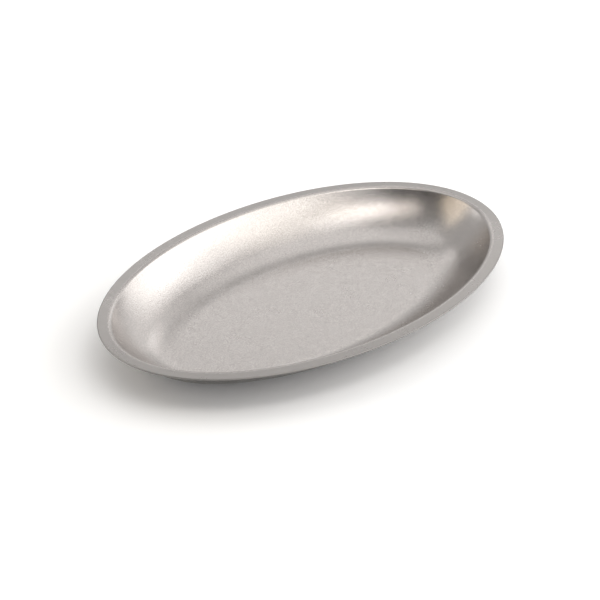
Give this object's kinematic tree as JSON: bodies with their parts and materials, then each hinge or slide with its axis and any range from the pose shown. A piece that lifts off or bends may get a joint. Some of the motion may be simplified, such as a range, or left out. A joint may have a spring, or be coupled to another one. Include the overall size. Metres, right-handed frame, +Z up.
{
  "type": "serving dish",
  "caption": "Shallow oval serving dish drawn from one sheet of metal, with a flat floor, a curved wall and a narrow level rim.",
  "frame": {"origin": "on the underside of the floor, at the middle of the oval", "axes": "+X along the oval's long axis, +Z up, out of the dish's mouth"},
  "size_m": [0.24, 0.1512, 0.021],
  "materials": {
    "metal": "tumbled satin, fine grain"
  },
  "bodies": {
    "root": {"dish": "metal"}
  },
  "joints": []
}
